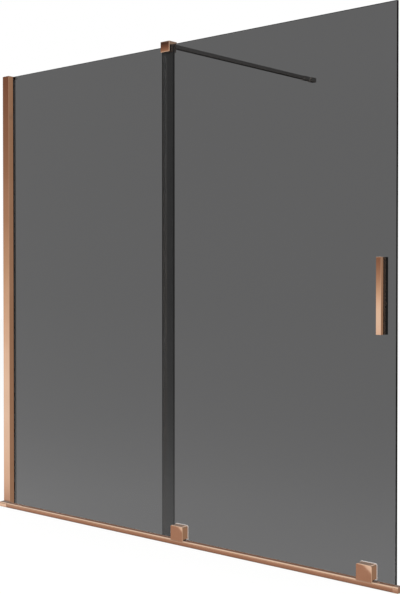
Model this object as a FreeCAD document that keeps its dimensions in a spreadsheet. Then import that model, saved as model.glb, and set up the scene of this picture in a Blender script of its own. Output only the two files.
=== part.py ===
import FreeCAD, Part
import math
import os
import re

import Sketcher

# Sliding bath screen: a fixed glass pane on a wall post, and a pane that rolls along a rail on the bath rim.
# Origin on the wall at the rim, in the fixed pane's mid-plane. +X runs along the bath, -Y faces the room.

# Driving dimensions in millimetres: alias, value, meaning.
DIMENSIONS = [
    ("screen_height", "1500", "glass top above the bath rim"),
    ("screen_width", "1600", "rail length from the wall"),
    ("glass_thickness", "8", "both panes"),
    ("glass_gap", "10", "clear space between the two panes"),
    ("glass_arris", "0.5", "ground bevel on the panes' edges"),
    ("fixed_reach", "792.5", "wall to the fixed pane's free edge"),
    ("pane_overlap", "32.5", "sliding pane behind the fixed pane's edge when closed"),
    ("end_margin", "23", "sliding pane's closed edge to the rail's end"),
    ("slide_base", "6", "sliding pane's lower edge above the rim"),
    ("slide_drop", "1", "sliding pane's upper edge below the fixed pane's"),
    ("open_gap", "13", "open sliding pane's edge to the wall post"),
    ("profile_width", "32", "wall post along the screen"),
    ("profile_wall", "2.2", "wall of the glass profile"),
    ("profile_edge", "0.8", "radius of the profile's long edges"),
    ("glazing_depth", "11.3", "depth of the glazing pocket"),
    ("setting_gap", "1.5", "pane's edge to the pocket's floor"),
    ("setting_length", "60", "length of a setting block"),
    ("gasket_thickness", "2.8", "glazing gasket between profile and glass"),
    ("gasket_lip", "1.2", "front gasket's lip along the glass"),
    ("gasket_heel", "1.2", "rear gasket's lip along the glass"),
    ("gasket_tip", "0.8", "thickness of a lip at its end"),
    ("channel_wall", "2.5", "wall of the channel on the wall"),
    ("channel_reach", "16", "channel's legs from the wall"),
    ("channel_clearance", "0.3", "channel inside the profile"),
    ("fixing_margin", "120", "end fixing holes from the post's ends"),
    ("fixing_radius", "3.25", "wall fixing holes"),
    ("lock_margin", "220", "end lock screws from the post's ends"),
    ("lock_setback", "10", "lock screws from the wall"),
    ("lock_radius", "1.75", "lock screw thread"),
    ("lock_head_radius", "3.2", "lock screw head"),
    ("lock_head", "1.6", "lock screw head thickness"),
    ("screw_cap_wall", "1.2", "wall of a screw cap"),
    ("top_cap", "2", "top cap's plate"),
    ("top_cap_plug", "6", "top cap's plug in the hollow profile"),
    ("sill_wall", "2", "side walls of the sill strip"),
    ("sill_floor", "3", "fixed pane above the rim"),
    ("sill_height", "7", "sill strip's height"),
    ("tape_thickness", "1", "bonding tape under the rail"),
    ("tape_inset", "2", "tape inside the rail's outline"),
    ("rail_gap", "4", "sliding pane to the rail's rear face"),
    ("rail_depth", "22", "rail front to rear"),
    ("rail_height", "14", "rail above the tape"),
    ("rail_wall", "2", "rail's walls"),
    ("rail_edge", "4", "rounded front edge of the rail"),
    ("rail_rear_edge", "0.8", "rounded rear edge of the rail"),
    ("groove_setback", "13", "wheel groove's middle behind the rail's front"),
    ("groove_width", "8.4", "wheel groove"),
    ("groove_depth", "4", "wheel groove"),
    ("cap_left", "41", "end cap at the wall"),
    ("cap_right", "16", "end cap at the free end"),
    ("cap_proud", "0.8", "end caps stand proud of the rail"),
    ("cap_tongue", "14", "end cap's tongue in the rail"),
    ("stop_length", "18", "travel stop"),
    ("stop_gap", "1", "wheel to stop at the end of the stroke"),
    ("stop_screw_radius", "1.5", "travel stop's screw"),
    ("stop_head_radius", "2.8", "travel stop's screw head"),
    ("stop_head", "1.2", "travel stop's screw head thickness"),
    ("small_clearance", "0.2", "plugs, tongues and inserts in their seats"),
    ("thread_clearance", "0.05", "screws in their holes"),
    ("bracket_width", "36", "top bracket along the screen"),
    ("bracket_overhang", "1", "bracket past the fixed pane's edge"),
    ("bracket_drop", "21", "bracket below the glass top"),
    ("bracket_rise", "11", "bracket above the glass top"),
    ("bracket_jaw", "2.9", "front and rear jaws"),
    ("bracket_edge", "1.6", "rounded edges of the bracket"),
    ("bracket_top_edge", "0.4", "rounded edges around the bracket's top"),
    ("guide_clearance", "0.3", "sliding pane in its guide"),
    ("liner_thickness", "0.8", "guide liner"),
    ("pad_thickness", "1.2", "glass pads in the bracket"),
    ("pad_margin", "1.5", "pads inside the bracket's and the pane's outline"),
    ("plate_thickness", "1.2", "pressure plate"),
    ("clamp_radius", "2.5", "clamp set screws"),
    ("clamp_spacing", "18", "clamp set screws apart"),
    ("clamp_rise", "8", "clamp set screws above the bracket's base"),
    ("wall_distance", "755", "fixed pane's mid-plane to the far wall"),
    ("arm_width", "15", "arm along the screen"),
    ("arm_height", "11.2", "arm"),
    ("arm_wall", "1.5", "arm tube's wall"),
    ("arm_edge", "0.8", "arm's rounded edges"),
    ("arm_rise", "1.4", "arm's middle above the glass top"),
    ("spigot_length", "20", "bracket's spigot in the arm"),
    ("collar_border", "1", "end fitting around the arm"),
    ("collar_length", "33", "end fitting's collar"),
    ("socket_depth", "20", "arm in the end fitting"),
    ("pivot_gap", "10", "end fitting's collar to the wall block"),
    ("pivot_setback", "6", "pivot behind the wall block's face"),
    ("pivot_radius", "2", "pivot pin"),
    ("tongue_width", "7", "end fitting's tongue"),
    ("tongue_height", "10", "end fitting's tongue"),
    ("fork_clearance", "0.3", "tongue in the wall block's fork"),
    ("block_width", "18", "wall block along the screen"),
    ("block_height", "15", "wall block"),
    ("block_depth", "28", "wall block from the wall"),
    ("block_wall", "2", "wall block's walls"),
    ("block_hollow", "12", "hollow behind the wall block"),
    ("plate_depth", "3", "wall plate in the block"),
    ("plate_hole_radius", "2.75", "wall plate's screw hole"),
    ("grub_radius", "1.5", "grub screws"),
    ("seal_width", "14", "overlap seal's foot"),
    ("seal_wall", "1.1", "overlap seal's wall"),
    ("seal_clearance", "0.5", "overlap seal to the fixed pane"),
    ("seal_margin", "10", "overlap seal clear of the bracket and carriages' height"),
    ("drip_wall", "1.2", "drip seal's wall"),
    ("drip_grip", "6", "drip seal up the glass"),
    ("drip_fin", "3", "drip seal's fin below the glass"),
    ("drip_inset", "2", "drip seal's ends inside the pane"),
    ("handle_width", "15", "handle bar"),
    ("handle_depth", "12", "outer handle bar from the glass"),
    ("inner_depth", "18.5", "inner handle bar from the glass"),
    ("handle_length", "200", "handle bar"),
    ("handle_height", "750", "handle's middle above the rim"),
    ("handle_inset", "38", "handle to the pane's edge"),
    ("handle_edge", "0.8", "rounded edges of the handle"),
    ("handle_gasket", "0.5", "gasket under the handle"),
    ("gasket_margin", "1", "gaskets inside their piece's outline"),
    ("stud_spacing", "140", "handle studs apart"),
    ("stud_radius", "2.5", "handle studs"),
    ("stud_grip", "7", "stud in each handle bar"),
    ("stud_hole_radius", "5", "glass holes for the handle"),
    ("carriage_width", "48", "carriage"),
    ("carriage_height", "41", "carriage"),
    ("carriage_lift", "1", "carriage above the rail"),
    ("carriage_inset", "55", "right carriage to the pane's edge"),
    ("left_inset", "58.5", "left carriage to the pane's edge"),
    ("cover_wall", "2.5", "carriage cover"),
    ("cover_corner", "4.5", "cover's upper corners"),
    ("cover_edge", "1.2", "cover's front edges"),
    ("skirt_drop", "1.3", "cover's front below the rail's top"),
    ("skirt_clearance", "0.3", "cover's front to the rail's rounded edge"),
    ("notch_height", "3", "open foot of the cover's sides"),
    ("notch_setback", "5", "cover's front left below the notch"),
    ("backplate_thickness", "1.8", "carriage back plate"),
    ("backplate_proud", "2", "back plate past the cover"),
    ("backplate_edge", "1.2", "back plate's rounded rim"),
    ("carriage_gasket", "0.7", "gasket between back plate and glass"),
    ("chassis_width", "42", "carriage chassis"),
    ("chassis_height", "20", "solid upper part of the chassis"),
    ("cheek_thickness", "2.5", "chassis cheeks"),
    ("cheek_clearance", "0.8", "wheel to cheek"),
    ("cheek_lift", "1.2", "cheeks above the rail"),
    ("wheel_radius", "9", "wheel"),
    ("wheel_width", "7", "wheel"),
    ("wheel_chamfer", "0.8", "wheel's tread corners"),
    ("wheel_spacing", "23", "wheels of one carriage apart"),
    ("wheel_clearance", "0.15", "wheel above the groove's floor"),
    ("wheel_headroom", "1.8", "wheel to the chassis above"),
    ("bearing_bore_radius", "2", "bearing's bore"),
    ("bearing_radius", "5.5", "bearing"),
    ("bearing_width", "4", "bearing"),
    ("ring_thickness", "0.95", "bearing rings"),
    ("ball_clearance", "0.02", "ball to ring"),
    ("fit_clearance", "0.02", "bearing seats"),
    ("axle_head_radius", "3.2", "axle head"),
    ("axle_head", "1", "axle head's thickness"),
    ("bolt_radius", "3", "carriage bolts"),
    ("bolt_spacing", "22", "bolts of one carriage apart"),
    ("bolt_rise", "25", "bolts above the carriage's foot"),
    ("bolt_grip", "11", "bolt in the chassis"),
    ("bolt_head_radius", "7", "bolt head"),
    ("bolt_head", "1.8", "bolt head's thickness"),
    ("bolt_washer", "0.5", "washer under the bolt head"),
    ("bolt_hole_radius", "5", "glass holes for the carriage bolts"),
]
BALLS_PER_BEARING = 7

document = FreeCAD.newDocument("SlidingBathScreen")
sheet = document.addObject("Spreadsheet::Sheet", "Sizes")
for row, (alias, value, meaning) in enumerate(DIMENSIONS, 1):
    sheet.set(f"A{row}", meaning)
    sheet.set(f"B{row}", value)
    sheet.setAlias(f"B{row}", alias)
document.recompute()

pieces = []


# A formula names sheet cells by alias, and this points each name at the sheet.
def linked(formula):
    return re.sub(r"[a-z]\w*", r"Sizes.\g<0>", str(formula))


def number(formula):
    return float(sheet.evalExpression(linked(formula)))


def bind(item, **formulas):
    for size, formula in formulas.items():
        item.setExpression(size, linked(formula))


def place(item, x, y, z):
    for axis, formula in zip("xyz", (x, y, z)):
        item.setExpression(f"Placement.Base.{axis}", linked(formula))


def span(low, high):
    return f"({high}) - ({low})"


# A rectangular solid between two planes on each axis, as a loose part or as a feature of a body.
def block(name, x, y, z, body=None, kind="Part::Box"):
    item = body.newObject(kind, name) if body else document.addObject(kind, name)
    bind(item, Length=span(*x), Width=span(*y), Height=span(*z))
    place(item, x[0], y[0], z[0])
    return item


TURNS = {
    "x": FreeCAD.Rotation(FreeCAD.Vector(0, 1, 0), 90),
    "y": FreeCAD.Rotation(FreeCAD.Vector(1, 0, 0), -90),
    "z": FreeCAD.Rotation(),
}


# A cylinder along one axis, from a start point for a length.
def rod(name, axis, start, radius, length, body=None, kind="Part::Cylinder"):
    item = body.newObject(kind, name) if body else document.addObject(kind, name)
    bind(item, Radius=radius, Height=length)
    item.Placement = FreeCAD.Placement(FreeCAD.Vector(), TURNS[axis])
    place(item, *start)
    return item


def tube(name, axis, start, radius, bore, length):
    outside = rod(f"{name}_outside", axis, start, radius, length)
    inside = rod(f"{name}_inside", axis, start, bore, length)
    return cut(name, outside, inside)


def cut(name, base, tool):
    item = document.addObject("Part::Cut", name)
    item.Base = base
    item.Tool = tool
    return item


def fused(name, shapes):
    item = document.addObject("Part::MultiFuse", name)
    item.Shapes = shapes
    return item


def piece(item):
    pieces.append(item)
    return item


# Several like solids that share one name.
def group(name, solids):
    item = document.addObject("Part::Compound", name)
    item.Links = solids
    return piece(item)


def draw(sketch, corners):
    first = sketch.GeometryCount
    points = [FreeCAD.Vector(number(across), number(up), 0) for across, up in corners]
    count = len(points)
    for index in range(count):
        sketch.addGeometry(Part.LineSegment(points[index], points[(index + 1) % count]))
    for index in range(count):
        following = first + (index + 1) % count
        sketch.addConstraint(Sketcher.Constraint("Coincident", first + index, 2, following, 1))
    for index, (across, up) in enumerate(corners):
        for direction, formula in (("DistanceX", across), ("DistanceY", up)):
            at = sketch.addConstraint(
                Sketcher.Constraint(direction, -1, 1, first + index, 1, number(formula)))
            sketch.setExpression(f"Constraints[{at}]", linked(formula))


def rectangle(across, up):
    return [(across[0], up[0]), (across[1], up[0]), (across[1], up[1]), (across[0], up[1])]


# A body padded from one section: outlines in the section plane, between two planes along the plane's normal.
def extrusion(name, plane, outlines, along):
    body = document.addObject("PartDesign::Body", name)
    section = body.newObject("Sketcher::SketchObject", f"{name}_section")
    support = next(feature for feature in body.Origin.OriginFeatures if feature.Role == plane)
    section.AttachmentSupport = [(support, "")]
    section.MapMode = "FlatFace"
    # The XZ plane faces -Y, so its offset and its pad run the other way.
    offset = f"-({along[1]})" if plane == "XZ_Plane" else along[0]
    section.setExpression("AttachmentOffset.Base.z", linked(offset))
    for corners in outlines:
        draw(section, corners)
    pad = body.newObject("PartDesign::Pad", f"{name}_pad")
    pad.Profile = section
    bind(pad, Length=span(*along))
    document.recompute()
    return piece(body)


def solid_block(name, x, y, z):
    return extrusion(name, "XY_Plane", [rectangle(x, y)], z)


def feature_name(body, purpose):
    return f"{body.Name}_{purpose}{len(body.Group)}"


def mill(body, x, y, z):
    block(feature_name(body, "mill"), x, y, z, body, "PartDesign::SubtractiveBox")


def extend(body, x, y, z):
    block(feature_name(body, "extend"), x, y, z, body, "PartDesign::AdditiveBox")


def drill(body, axis, start, radius, length):
    rod(feature_name(body, "drill"), axis, start, radius, length, body, "PartDesign::SubtractiveCylinder")


# True where an edge lies in every one of the given planes.
def lies_in(edge, planes):
    box = edge.BoundBox
    limits = {"x": (box.XMin, box.XMax), "y": (box.YMin, box.YMax), "z": (box.ZMin, box.ZMax)}
    tolerance = 1e-4
    return all(abs(limit - level) < tolerance for axis, level in planes.items() for limit in limits[axis])


def dress_edges(body, kind, size, where):
    document.recompute()
    base = body.Tip
    levels = [{axis: number(formula) for axis, formula in planes.items()} for planes in where]
    names = [f"Edge{index}" for index, edge in enumerate(base.Shape.Edges, 1)
             if any(lies_in(edge, planes) for planes in levels)]
    dressing = body.newObject(kind, feature_name(body, "edges"))
    dressing.Base = (base, names)
    bind(dressing, **size)


def round_edges(body, radius, *where):
    dress_edges(body, "PartDesign::Fillet", {"Radius": radius}, where)


def bevel_edges(body, size, *where):
    dress_edges(body, "PartDesign::Chamfer", {"Size": size}, where)


# Planes across the screen, from the fixed pane out to the room.
fixed_front = "(-glass_thickness / 2)"
fixed_rear = "(glass_thickness / 2)"
slide_rear = f"({fixed_front} - glass_gap)"
slide_front = f"({slide_rear} - glass_thickness)"
rail_rear = f"({slide_front} - rail_gap)"
rail_front = f"({rail_rear} - rail_depth)"
groove_middle = f"({rail_front} + groove_setback)"

# Planes along the screen and up it.
slide_left = "(fixed_reach - pane_overlap)"
slide_right = "(screen_width - end_margin)"
slide_top = "(screen_height - slide_drop)"
travel = f"({slide_left} - profile_width - open_gap)"
rail_top = "(tape_thickness + rail_height)"
groove_floor = f"({rail_top} - groove_depth)"


# Wall post: its front face is in the rail's rear plane, and its pocket holds the fixed pane.
profile_front = rail_rear
pocket_front = f"({fixed_front} - gasket_thickness)"
pocket_rear = f"({fixed_rear} + gasket_thickness)"
profile_rear = f"({pocket_rear} + profile_wall)"
pocket_floor = "(profile_width - glazing_depth)"
glass_left = f"({pocket_floor} + setting_gap)"
profile_top = "(screen_height - top_cap)"
channel_front = f"({profile_front} + profile_wall + channel_clearance)"
channel_rear = f"({pocket_rear} - channel_clearance)"
hollow_across = (pocket_floor, "profile_width - profile_wall")
hollow_deep = (f"{profile_front} + profile_wall", f"{pocket_front} - profile_wall")
post_height = ("0", profile_top)


def three_heights(margin):
    return (margin, "screen_height / 2", f"screen_height - {margin}")


def make_wall_channel():
    inner_front = f"{channel_front} + channel_wall"
    inner_rear = f"{channel_rear} - channel_wall"
    outline = [
        ("0", channel_front), ("channel_reach", channel_front), ("channel_reach", inner_front),
        ("channel_wall", inner_front), ("channel_wall", inner_rear), ("channel_reach", inner_rear),
        ("channel_reach", channel_rear), ("0", channel_rear),
    ]
    channel = extrusion("wall_channel", "XY_Plane", [outline], post_height)
    middle = f"({channel_front} + {channel_rear}) / 2"
    for height in three_heights("fixing_margin"):
        drill(channel, "x", ("-channel_wall", middle, height), "fixing_radius", "channel_wall * 3")
    for height in three_heights("lock_margin"):
        drill(channel, "y", ("lock_setback", f"{channel_rear} - channel_wall * 1.5", height),
              "lock_radius + thread_clearance", "channel_wall * 2")


def make_glass_profile():
    web = f"{pocket_floor} - profile_wall"
    inner_front = f"{profile_front} + profile_wall"
    outline = [
        ("0", profile_front), ("profile_width", profile_front), ("profile_width", pocket_front),
        (pocket_floor, pocket_front), (pocket_floor, pocket_rear), ("profile_width", pocket_rear),
        ("profile_width", profile_rear), ("0", profile_rear), ("0", pocket_rear), (web, pocket_rear),
        (web, inner_front), ("0", inner_front),
    ]
    profile = extrusion("glass_profile", "XY_Plane", [outline, rectangle(hollow_across, hollow_deep)],
                        post_height)
    for height in three_heights("lock_margin"):
        drill(profile, "y", ("lock_setback", f"{pocket_rear} - channel_clearance / 2", height),
              "lock_radius + thread_clearance", "profile_wall * 2")
    round_edges(profile, "profile_edge", {"x": "profile_width", "y": profile_front},
                {"x": "profile_width", "y": profile_rear})


def make_profile_top_cap():
    cap = solid_block("profile_top_cap", ("0", "profile_width"), (profile_front, profile_rear),
                      (profile_top, "screen_height"))
    mill(cap, (glass_left, "profile_width + glazing_depth"), (fixed_front, fixed_rear),
         (f"{profile_top} - top_cap", "screen_height + top_cap"))
    extend(cap, (f"{hollow_across[0]} + small_clearance", f"{hollow_across[1]} - small_clearance"),
           (f"{hollow_deep[0]} + small_clearance", f"{hollow_deep[1]} - small_clearance"),
           (f"{profile_top} - top_cap_plug", profile_top))
    round_edges(cap, "profile_edge", {"x": "profile_width", "y": profile_front},
                {"x": "profile_width", "y": profile_rear})


def make_lock_screws():
    screws = []
    caps = []
    cap_radius = "lock_head_radius + screw_cap_wall + small_clearance"
    cap_depth = "lock_head + screw_cap_wall + small_clearance"
    for index, height in enumerate(three_heights("lock_margin"), 1):
        tip = f"{channel_rear} - channel_wall"
        shank = rod(f"lock_shank_{index}", "y", ("lock_setback", tip, height), "lock_radius",
                    span(tip, profile_rear))
        head = rod(f"lock_head_{index}", "y", ("lock_setback", profile_rear, height), "lock_head_radius",
                   "lock_head")
        screws.append(fused(f"lock_screw_{index}", [shank, head]))
        dome = rod(f"cap_dome_{index}", "y", ("lock_setback", profile_rear, height), cap_radius, cap_depth)
        hollow = rod(f"cap_hollow_{index}", "y", ("lock_setback", profile_rear, height),
                     "lock_head_radius + small_clearance", "lock_head + small_clearance")
        caps.append(cut(f"screw_cap_{index}", dome, hollow))
    group("profile_lock_screws", screws)
    group("profile_screw_caps", caps)


def make_glazing():
    lip_end = "profile_width + gasket_lip"
    front = [
        (pocket_floor, pocket_front), ("profile_width", pocket_front),
        (lip_end, f"{fixed_front} - gasket_tip"), (lip_end, fixed_front), (pocket_floor, fixed_front),
    ]
    extrusion("front_glazing_gasket", "XY_Plane", [front], post_height)
    heel_end = "profile_width + gasket_heel"
    rear = [
        (pocket_floor, fixed_rear), (heel_end, fixed_rear), (heel_end, f"{fixed_rear} + gasket_tip"),
        ("profile_width", pocket_rear), (pocket_floor, pocket_rear),
    ]
    extrusion("rear_glazing_gasket", "XY_Plane", [rear], post_height)
    blocks = []
    for index, height in enumerate(("fixing_margin", "screen_height - fixing_margin"), 1):
        blocks.append(block(f"setting_block_{index}", (pocket_floor, glass_left), (fixed_front, fixed_rear),
                            (f"{height} - setting_length / 2", f"{height} + setting_length / 2")))
    group("glass_setting_blocks", blocks)


# Fixed pane and the clear strip under it.
def make_pane(name, x, z, front, rear):
    pane = extrusion(name, "XZ_Plane", [rectangle(x, z)], (front, rear))
    bevel_edges(pane, "glass_arris",
                *[{"y": face, side: level} for face in (front, rear) for side, pair in (("x", x), ("z", z))
                  for level in pair])
    return pane


def make_fixed_pane():
    make_pane("fixed_glass", (glass_left, "fixed_reach"), ("sill_floor", "screen_height"),
              fixed_front, fixed_rear)
    outer_front = f"{fixed_front} - sill_wall"
    outer_rear = f"{fixed_rear} + sill_wall"
    strip = [
        (outer_front, "0"), (outer_rear, "0"), (outer_rear, "sill_height"), (fixed_rear, "sill_height"),
        (fixed_rear, "sill_floor"), (fixed_front, "sill_floor"), (fixed_front, "sill_height"),
        (outer_front, "sill_height"),
    ]
    extrusion("fixed_glass_sill", "YZ_Plane", [strip],
              ("profile_width + gasket_lip + gasket_heel", "fixed_reach"))


# Rail on the bath rim, with its end caps, travel stops and tape.
rail_left = "cap_left"
rail_right = "(screen_width - cap_right)"
hollow_front = f"({rail_front} + rail_wall)"
hollow_rear = f"({rail_rear} - rail_wall)"
hollow_base = "(tape_thickness + rail_wall)"
hollow_top = f"({groove_floor} - rail_wall)"
groove_front = f"({groove_middle} - groove_width / 2)"
groove_rear = f"({groove_middle} + groove_width / 2)"
left_carriage = f"({slide_left} + left_inset + carriage_width / 2)"
right_carriage = f"({slide_right} - carriage_inset - carriage_width / 2)"
carriages = {"left": left_carriage, "right": right_carriage}
wheel_reach = "(wheel_spacing / 2 + wheel_radius + stop_gap)"
left_stop_end = f"{left_carriage} - {travel} - {wheel_reach}"
left_stop = (f"{left_stop_end} - stop_length", left_stop_end)
right_stop = (f"{right_carriage} + {wheel_reach}", f"{right_carriage} + {wheel_reach} + stop_length")
stops = {"left": left_stop, "right": right_stop}
stop_top = f"({rail_top} - small_clearance)"


def stop_middle(side):
    return f"({stops[side][0]}) + stop_length / 2"


def make_bottom_rail():
    outline = [
        (rail_front, "tape_thickness"), (rail_rear, "tape_thickness"), (rail_rear, rail_top),
        (groove_rear, rail_top), (groove_rear, groove_floor), (groove_front, groove_floor),
        (groove_front, rail_top), (rail_front, rail_top),
    ]
    hollow = rectangle((hollow_front, hollow_rear), (hollow_base, hollow_top))
    rail = extrusion("bottom_rail", "YZ_Plane", [outline, hollow], (rail_left, rail_right))
    for side in stops:
        drill(rail, "z", (stop_middle(side), groove_middle, f"{hollow_top} - rail_wall / 2"),
              "stop_screw_radius + thread_clearance", "rail_wall * 2")
    round_edges(rail, "rail_edge", {"y": rail_front, "z": rail_top})
    round_edges(rail, "rail_rear_edge", {"y": rail_rear, "z": rail_top})


def make_rail_end_cap(name, x, tongue):
    front = f"{rail_front} - cap_proud"
    top = f"{rail_top} + cap_proud"
    cap = solid_block(name, x, (front, rail_rear), ("tape_thickness", top))
    extend(cap, tongue, (f"{hollow_front} + small_clearance", f"{hollow_rear} - small_clearance"),
           (f"{hollow_base} + small_clearance", f"{hollow_top} - small_clearance"))
    round_edges(cap, "rail_edge", {"y": front, "z": top})
    round_edges(cap, "rail_rear_edge", {"y": rail_rear, "z": top})


def make_rail_stops():
    screws = []
    for side, x in stops.items():
        stop = solid_block(f"rail_stop_{side}", x,
                           (f"{groove_front} + small_clearance", f"{groove_rear} - small_clearance"),
                           (groove_floor, stop_top))
        drill(stop, "z", (stop_middle(side), groove_middle, f"{groove_floor} - rail_wall"),
              "stop_screw_radius + thread_clearance", "groove_depth * 2")
        drill(stop, "z", (stop_middle(side), groove_middle, f"{stop_top} - stop_head"),
              "stop_head_radius + thread_clearance", "groove_depth")
        shank = rod(f"stop_shank_{side}", "z", (stop_middle(side), groove_middle, hollow_top),
                    "stop_screw_radius", span(hollow_top, stop_top))
        head = rod(f"stop_head_{side}", "z", (stop_middle(side), groove_middle, f"{stop_top} - stop_head"),
                   "stop_head_radius", "stop_head")
        screws.append(fused(f"stop_screw_{side}", [shank, head]))
    group("rail_stop_screws", screws)


def make_rail():
    make_bottom_rail()
    make_rail_end_cap("rail_end_cap_left", ("0", rail_left), (rail_left, f"{rail_left} + cap_tongue"))
    make_rail_end_cap("rail_end_cap_right", (rail_right, "screen_width"),
                      (f"{rail_right} - cap_tongue", rail_right))
    make_rail_stops()
    solid_block("rail_bonding_tape", ("tape_inset", "screen_width - tape_inset"),
                (f"{rail_front} + tape_inset", f"{rail_rear} - tape_inset"), ("0", "tape_thickness"))


# Top bracket: clamps the fixed pane and guides the sliding pane.
bracket_right = "(fixed_reach + bracket_overhang)"
bracket_left = f"({bracket_right} - bracket_width)"
bracket_middle = f"({bracket_right} - bracket_width / 2)"
bracket_base = "(screen_height - bracket_drop)"
bracket_top = "(screen_height + bracket_rise)"
guide_front = f"({slide_front} - guide_clearance - liner_thickness)"
guide_rear = f"({slide_rear} + guide_clearance + liner_thickness)"
guide_top = "(screen_height + liner_thickness)"
clamp_front = f"({fixed_front} - pad_thickness)"
clamp_rear = f"({fixed_rear} + pad_thickness + plate_thickness)"
bracket_front = f"({guide_front} - bracket_jaw)"
bracket_rear = f"({clamp_rear} + bracket_jaw)"
clamp_screw_heights = f"({bracket_base} + clamp_rise)"
clamp_screw_places = [f"{bracket_middle} - clamp_spacing / 2", f"{bracket_middle} + clamp_spacing / 2"]
arm_axis = "(screen_height + arm_rise)"


# Planes at both sides of a middle, a given width apart.
def about(middle, width):
    return (f"{middle} - ({width}) / 2", f"{middle} + ({width}) / 2")


def make_bracket_body():
    body = solid_block("bracket_body", (bracket_left, bracket_right), (bracket_front, bracket_rear),
                       (bracket_base, bracket_top))
    outer_planes = {"x": (bracket_left, bracket_right), "y": (bracket_front, bracket_rear)}
    corners = [{"x": x, "y": y} for x in outer_planes["x"] for y in outer_planes["y"]]
    rims = [{axis: level, "z": bracket_base} for axis, levels in outer_planes.items() for level in levels]
    round_edges(body, "bracket_edge", *corners, *rims)
    round_edges(body, "bracket_top_edge", {"z": bracket_top})
    through = (f"{bracket_left} - bracket_width", f"{bracket_right} + bracket_width")
    below = f"{bracket_base} - bracket_drop"
    mill(body, through, (guide_front, guide_rear), (below, guide_top))
    mill(body, through, (clamp_front, clamp_rear), (below, "screen_height"))
    bore = "2 * (arm_wall + thread_clearance)"
    extend(body, about(bracket_middle, f"arm_width - {bore}"),
           (bracket_rear, f"{bracket_rear} + spigot_length"), about(arm_axis, f"arm_height - {bore}"))
    for x in clamp_screw_places:
        drill(body, "y", (x, f"{clamp_rear} - plate_thickness / 2", clamp_screw_heights),
              "clamp_radius + thread_clearance", "bracket_jaw * 2")


def make_bracket_inserts():
    inner_front = f"{slide_front} - guide_clearance"
    inner_rear = f"{slide_rear} + guide_clearance"
    liner = [
        (guide_front, bracket_base), (inner_front, bracket_base), (inner_front, "screen_height"),
        (inner_rear, "screen_height"), (inner_rear, bracket_base), (guide_rear, bracket_base),
        (guide_rear, guide_top), (guide_front, guide_top),
    ]
    extrusion("bracket_guide_liner", "YZ_Plane", [liner], (bracket_left, bracket_right))
    pad_across = (f"{bracket_left} + pad_margin", "fixed_reach - pad_margin")
    pad_up = (f"{bracket_base} + pad_margin", "screen_height - pad_margin")
    rear_pad = f"{fixed_rear} + pad_thickness"
    group("bracket_glass_pads", [
        block("front_pad", pad_across, (clamp_front, fixed_front), pad_up),
        block("rear_pad", pad_across, (fixed_rear, rear_pad), pad_up),
    ])
    solid_block("bracket_pressure_plate", pad_across, (rear_pad, clamp_rear), pad_up)
    group("bracket_clamp_screws", [
        rod(f"clamp_screw_{index}", "y", (x, clamp_rear, clamp_screw_heights), "clamp_radius",
            "bracket_jaw - small_clearance")
        for index, x in enumerate(clamp_screw_places, 1)
    ])


# Stabiliser arm from the bracket to the far wall.
block_front = "(wall_distance - block_depth)"
collar_end = f"({block_front} - pivot_gap)"
collar_start = f"({collar_end} - collar_length)"
arm_end = f"({collar_start} + socket_depth)"
pivot = f"({block_front} + pivot_setback)"
hollow_start = "(wall_distance - block_hollow)"
plate_front = "(wall_distance - plate_depth)"
collar_width = "(arm_width + 2 * (collar_border + thread_clearance))"
collar_height = "(arm_height + 2 * (collar_border + thread_clearance))"
arm_base = f"({arm_axis} - arm_height / 2)"
collar_base = f"({arm_axis} - {collar_height} / 2)"
block_base = f"({arm_axis} - block_height / 2)"
arm_grub = f"({bracket_rear} + spigot_length / 2)"
collar_grub = f"({collar_start} + socket_depth / 2)"
block_grub = f"({plate_front} + plate_depth / 2)"
grub_hole = "grub_radius + thread_clearance"


def box_edges(x, y, z):
    planes = {"x": x, "y": y, "z": z}
    pairs = (("x", "y"), ("x", "z"), ("y", "z"))
    return [{a: low, b: high} for a, b in pairs for low in planes[a] for high in planes[b]]


def long_edges(x, z):
    return [{"x": across, "z": up} for across in x for up in z]


def make_arm_tube():
    x = about(bracket_middle, "arm_width")
    z = about(arm_axis, "arm_height")
    bore = rectangle(about(bracket_middle, "arm_width - 2 * arm_wall"),
                     about(arm_axis, "arm_height - 2 * arm_wall"))
    arm = extrusion("stabiliser_arm", "XZ_Plane", [rectangle(x, z), bore], (bracket_rear, arm_end))
    drill(arm, "z", (bracket_middle, arm_grub, f"{arm_base} - arm_wall / 2"), grub_hole, "arm_wall * 2")
    round_edges(arm, "arm_edge", *long_edges(x, z))


def make_arm_end_fitting():
    x = about(bracket_middle, collar_width)
    z = about(arm_axis, collar_height)
    tongue_end = f"{pivot} + tongue_width / 2"
    fitting = solid_block("arm_end_fitting", x, (collar_start, collar_end), z)
    round_edges(fitting, "arm_edge", *box_edges(x, (collar_start, collar_end), z))
    mill(fitting, about(bracket_middle, "arm_width + 2 * thread_clearance"),
         (f"{collar_start} - socket_depth", arm_end), about(arm_axis, "arm_height + 2 * thread_clearance"))
    extend(fitting, about(bracket_middle, "tongue_width"), (collar_end, tongue_end),
           about(arm_axis, "tongue_height"))
    drill(fitting, "z", (bracket_middle, pivot, f"{arm_axis} - tongue_height"),
          "pivot_radius + thread_clearance", "tongue_height * 2")
    drill(fitting, "z", (bracket_middle, collar_grub, f"{collar_base} - collar_border / 2"), grub_hole,
          "collar_border * 2")


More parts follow.
